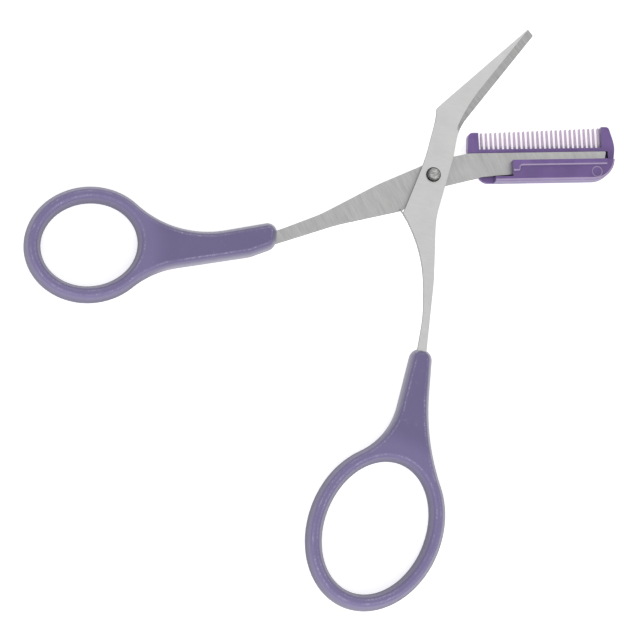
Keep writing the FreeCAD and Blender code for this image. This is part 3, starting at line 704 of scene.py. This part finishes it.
@dataclass
class Rivet:
    """The rivet through both blades, its heads peened by hand."""

    finish: HammeredSteel = HammeredSteel("hammered_rivet_steel")
    shank_share: float = 0.68
    rim_share: float = 0.35
    running_gap: float = 0.02 * MM
    dish: float = 0.07 * MM
    dent: float = 0.05 * MM
    ridge_share: float = 0.62
    dish_steps: int = 26
    shoulder_steps: int = 18
    columns: int = 96
    wave_limit: float = 2.0
    waves: tuple[tuple[float, float, float, float], ...] = (  # pace in x and y, start in x and y
        (5.1, 4.3, 0.4, 1.9), (8.7, 7.9, 2.2, 0.3), (12.3, 13.9, 1.1, 2.7))

    def profile(self) -> np.ndarray:
        """The rivet's half section as (radius, height) from the front pole to the back one.

        A head rises from its upright rim in an elliptical shoulder to a ridge at ridge_share of
        its radius, and falls in a cosine to a shallow dish at its middle.

        Returns:
            Rows of (radius, height).
        """
        low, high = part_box("pivot_rivet")
        radius = (high.x - low.x) / 2
        under_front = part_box("front_blade")[1].z + self.running_gap
        under_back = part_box("rear_blade")[0].z
        fall = np.linspace(0.0, 1.0, self.dish_steps)
        inner = fall * self.ridge_share
        dish = self.dish * (1 + np.cos(np.pi * fall)) / 2
        quarter = np.linspace(0, np.pi / 2, self.shoulder_steps)
        outer = self.ridge_share + (1 - self.ridge_share) * np.sin(quarter)[1:]
        shoulder = 1 - np.cos(quarter)[1:]

        def head(top: float, under: float) -> np.ndarray:
            """One head from its pole to the corner under its rim.

            Args:
                top: Height of the ridge.
                under: Height of the head's underside.

            Returns:
                Rows of (radius, height).
            """
            tall = top - under
            crown = top - np.sign(tall) * dish
            slope = top - tall * (1 - self.rim_share) * shoulder
            radii = np.concatenate([inner, outer, [1.0]]) * radius
            return np.stack([radii, np.concatenate([crown, slope, [under]])], axis=1)

        front, back = head(high.z, under_front), head(low.z, under_back)
        shank = np.array([[radius * self.shank_share, under_front],
                          [radius * self.shank_share, under_back]])
        return np.vstack([front, shank, back[::-1]])

    def build(self) -> list[bpy.types.Object]:
        """Turn the profile round the pivot and dent its heads.

        The surface is (radius cos t, radius sin t, height); the dents are a sum of crossed sine
        waves in the plan, strongest at the middle of a head and nothing at its rim.

        Returns:
            The rivet's piece.
        """
        profile = self.profile()
        reach = profile[:, 0].max()
        turn = np.linspace(0, 2 * np.pi, self.columns, endpoint=False)
        radius, height = profile[:, :1], profile[:, 1:]
        x, y = radius * np.cos(turn), radius * np.sin(turn)
        waves = sum(np.sin(x * a / reach + p) * np.sin(y * b / reach + q)
                    for a, b, p, q in self.waves)
        waves = np.clip(waves, -self.wave_limit, self.wave_limit) / self.wave_limit
        share = np.clip(1 - (radius / reach) ** 4, 0, 1)
        middle = (profile[0, 1] + profile[-1, 1]) / 2
        facing = np.sign(height - middle)
        dents = self.dent * share * (waves - 1.0) / 2 * facing
        on_shank = np.isclose(radius, reach * self.shank_share)
        z = np.where(on_shank, height, height + dents)
        z[0], z[-1] = z[0].mean(), z[-1].mean()
        centre = pivot_point()
        points = np.stack([x + centre.x, y + centre.y, z], axis=-1)
        piece = add_piece("rivet_hammered", grid_mesh("rivet_hammered", points))
        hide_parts("pivot_rivet")
        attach(piece, "rear_half")
        dress(piece, self.finish.material())
        return [piece]


@dataclass
class Comb:
    """The comb that slides on the rear blade."""

    finish: CombPlastic
    corner_round: float = 0.1 * MM

    def build(self) -> list[bpy.types.Object]:
        """Soften the moulding's corners and dress it.

        Returns:
            The comb's piece.
        """
        comb = softened_copy("comb", "comb_moulded", self.corner_round)
        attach(comb, "comb_guide")
        dress(comb, self.finish.material())
        return [comb]


# ---------------------------------------------------------------- studio


@dataclass
class SoftBox:
    """One wide soft light aimed at the scissors, which bare steel mirrors only where mirrored."""

    name: str
    towards: tuple[float, float]
    rise: float
    size: float
    power: float
    mirrored: bool = True
    distance: float = 0.75

    def build(self, target: Vector) -> None:
        """Hang the light on its bearing, at its rise in degrees, and turn it to the target.

        Args:
            target: What the light is turned to.
        """
        rise = math.radians(self.rise)
        bearing = Vector((*self.towards, 0.0)).normalized()
        way = bearing * math.cos(rise) + Vector((0, 0, math.sin(rise)))
        light = bpy.data.lights.new(self.name, "AREA")
        light.shape, light.size, light.energy = "DISK", self.size, self.power
        lamp = bpy.data.objects.new(self.name, light)
        lamp.location = target + way * self.distance
        lamp.rotation_euler = (-way).to_track_quat("-Z", "Y").to_euler()
        lamp.visible_glossy = self.mirrored
        bpy.context.scene.collection.objects.link(lamp)


@dataclass
class Studio:
    """Table, light and camera."""

    table: TableTop = TableTop()
    sky: float = 0.62
    boxes: tuple[SoftBox, ...] = (
        SoftBox("key_front", (-0.3, -0.95), 26.0, 0.55, 2.8, mirrored=False),
        SoftBox("fill_right_front", (0.8, -0.6), 40.0, 0.6, 0.5),
        SoftBox("rim_back", (0.2, 1.0), 38.0, 0.6, 0.5),
    )
    table_side: float = 2.4
    table_drop: float = 0.02 * MM
    camera_distance: float = 0.640
    camera_back: tuple[float, float, float] = (-0.1627, -0.1698, 0.9720)
    aim_from_pivot: tuple[float, float] = (-24.7946 * MM, -32.5656 * MM)
    seen_width: float = 137.28 * MM
    sensor_width: float = 36.0  # millimetres, as the camera takes it
    sight: tuple[float, float] = (0.01, 20.0)

    def build(self) -> None:
        """Lay the table, light the scene and set the camera."""
        self.lay_table()
        self.light_room()
        self.set_camera()

    def lay_table(self) -> None:
        """One flat square under the scissors' backs."""
        half = self.table_side / 2
        mesh = bpy.data.meshes.new("table_top")
        corners = [(-half, -half), (half, -half), (half, half), (-half, half)]
        mesh.from_pydata([(x, y, -self.table_drop) for x, y in corners], [], [(0, 1, 2, 3)])
        top = add_piece("table_top", mesh)
        dress(top, self.table.material())

    def light_room(self) -> None:
        """An even white room and the soft boxes."""
        world = bpy.data.worlds.new("white_room")
        bpy.context.scene.world = world
        world.use_nodes = True
        air = world.node_tree.nodes["Background"]
        air.inputs["Color"].default_value = (1.0, 1.0, 1.0, 1.0)
        air.inputs["Strength"].default_value = self.sky
        for box in self.boxes:
            box.build(Vector((0.0, 0.0, 0.0)))
        bpy.context.scene.view_settings.view_transform = "Standard"

    def set_camera(self) -> None:
        """Look down on the scissors, leaning a little to the front left."""
        lens = bpy.data.cameras.new("studio_camera")
        lens.sensor_width = self.sensor_width
        lens.lens = lens.sensor_width * self.camera_distance / self.seen_width
        lens.clip_start, lens.clip_end = self.sight
        camera = bpy.data.objects.new("studio_camera", lens)
        back = Vector(self.camera_back).normalized()
        aim = pivot_point() + Vector((*self.aim_from_pivot, 0.0))
        side = Vector((0, 1, 0)).cross(back).normalized()
        up = back.cross(side)
        camera.location = aim + back * self.camera_distance
        rows = [(side[i], up[i], back[i]) for i in range(3)]
        camera.rotation_mode = "QUATERNION"
        camera.rotation_quaternion = Matrix(rows).to_quaternion()
        bpy.context.scene.collection.objects.link(camera)
        bpy.context.scene.camera = camera


def main() -> None:
    """Build and dress every sub-assembly, then the studio round them."""
    logging.basicConfig(level=logging.INFO, format="%(message)s")
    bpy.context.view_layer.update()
    rear_angle = rear_turn()
    front_angle = rear_angle + OPEN_ANGLE
    low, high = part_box("rear_handle")
    rear_ring = (low.x + REAR_RING_REACH, (low.y + high.y) / 2)
    rear = Half("rear", GroundSteel("rear_ground_steel", rear_angle, Grinding.ARCS, 0.66, 0.62),
                MouldedPlastic("rear_handle_plastic", rear_ring, REAR_RING_REACH))
    low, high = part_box("front_handle")
    front_ring = ((low.x + high.x) / 2, low.y + FRONT_RING_REACH)
    front = Half("front", GroundSteel("front_satin_steel", front_angle, Grinding.SATIN, 0.85, 0.50),
                 MouldedPlastic("front_handle_plastic", front_ring, FRONT_RING_REACH))
    # teeth paints light through thin plastic and highlights, slope_highlight is a painted
    # highlight, side is painted shade
    comb = Comb(CombPlastic("comb_plastic", body=(0.208, 0.128, 0.352), deep=(0.168, 0.103, 0.298),
                            teeth=(0.60, 0.50, 0.63), slope_highlight=(0.34, 0.29, 0.42),
                            side=(0.105, 0.085, 0.165), turn=rear_angle,
                            panel_z=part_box("comb")[1].z - PANEL_DROP))
    for assembly in (rear, front, Rivet(), comb):
        for piece in assembly.build():
            LOG.info("built %s", piece.name)
    Studio().build()


if __name__ == "__main__":
    main()
